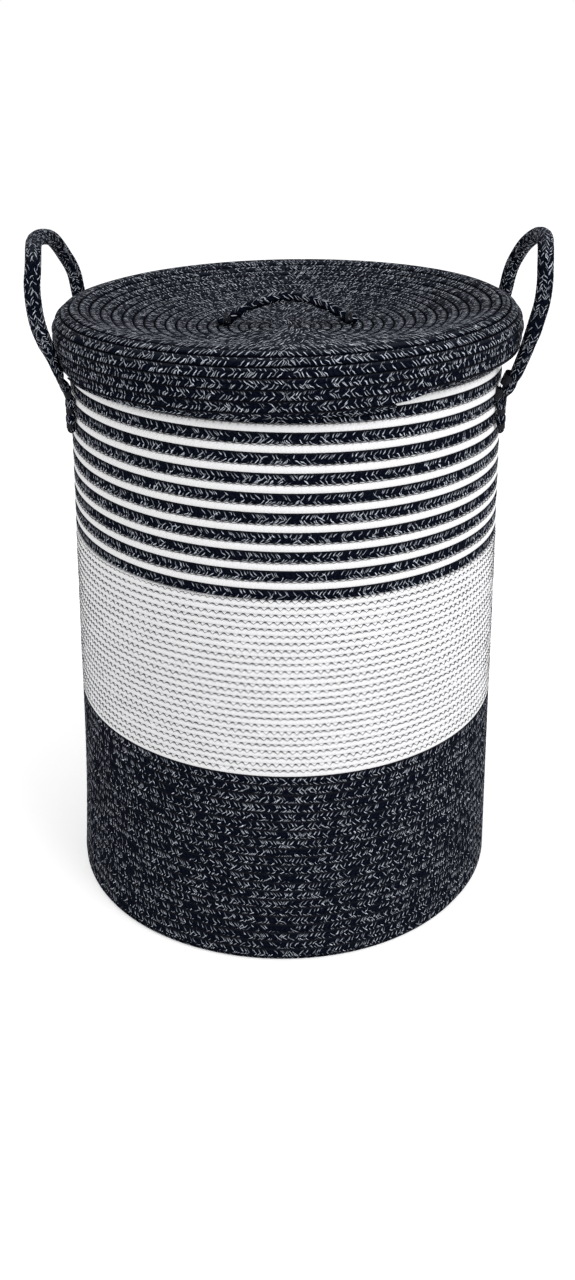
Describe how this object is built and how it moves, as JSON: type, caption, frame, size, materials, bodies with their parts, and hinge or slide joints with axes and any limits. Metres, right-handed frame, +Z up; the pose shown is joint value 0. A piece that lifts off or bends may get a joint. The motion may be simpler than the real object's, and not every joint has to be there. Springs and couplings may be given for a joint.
{
  "type": "laundry basket",
  "caption": "Tall coiled-rope laundry hamper with a dark foot, a white band and a striped top, a drop-over dished lid, rope side handles and a small rope handle on the lid",
  "frame": {"origin": "centre of the round foot, on the surface it stands on", "axes": "+Z up along the wall's axis, -Y towards the front, the side handles at -X and +X"},
  "size_m": [0.4453, 0.4234, 0.6279],
  "materials": {
    "dark_rope": "matte woven cotton rope, near-black navy with off-white flecks",
    "white_rope": "matte woven cotton rope, off-white",
    "dark_thread": "matte dark grey sewing thread"
  },
  "bodies": {
    "basket": {"floor_coil": "dark_rope", "lower_band_coil": "dark_rope", "middle_band_coil": "white_rope", "dark_stripe_rope": "dark_rope", "white_stripe_rope": "white_rope", "rim_coil": "dark_rope", "left_handle_front_tail": "dark_rope", "left_handle_back_tail": "dark_rope", "right_handle_front_tail": "dark_rope", "right_handle_back_tail": "dark_rope", "left_front_binding_1": "dark_thread", "left_front_binding_2": "dark_thread", "left_back_binding_1": "dark_thread", "left_back_binding_2": "dark_thread", "right_front_binding_1": "dark_thread", "right_front_binding_2": "dark_thread", "right_back_binding_1": "dark_thread", "right_back_binding_2": "dark_thread"},
    "lid": {"lid_coil": "dark_rope"},
    "lid_handle": {"lid_handle_rope": "dark_rope"},
    "left_handle": {"left_handle_loop": "dark_rope"},
    "right_handle": {"right_handle_loop": "dark_rope"}
  },
  "joints": [
    {"name": "lid_lift", "type": "slide", "parent": "basket", "child": "lid", "axis": [0, 0, 1], "range_m": [0, 0.2]},
    {"name": "left_handle_fold", "type": "hinge", "parent": "basket", "child": "left_handle", "pos_m": [-0.19271, 0, 0.48833], "axis": [0, -1, 0], "range_deg": [0, 120]},
    {"name": "right_handle_fold", "type": "hinge", "parent": "basket", "child": "right_handle", "pos_m": [0.19271, 0, 0.48833], "axis": [0, 1, 0], "range_deg": [0, 120]},
    {"name": "lid_handle_fold", "type": "hinge", "parent": "lid", "child": "lid_handle", "pos_m": [0, 0, 0.54666], "axis": [1, 0, 0], "range_deg": [-80, 80]}
  ]
}
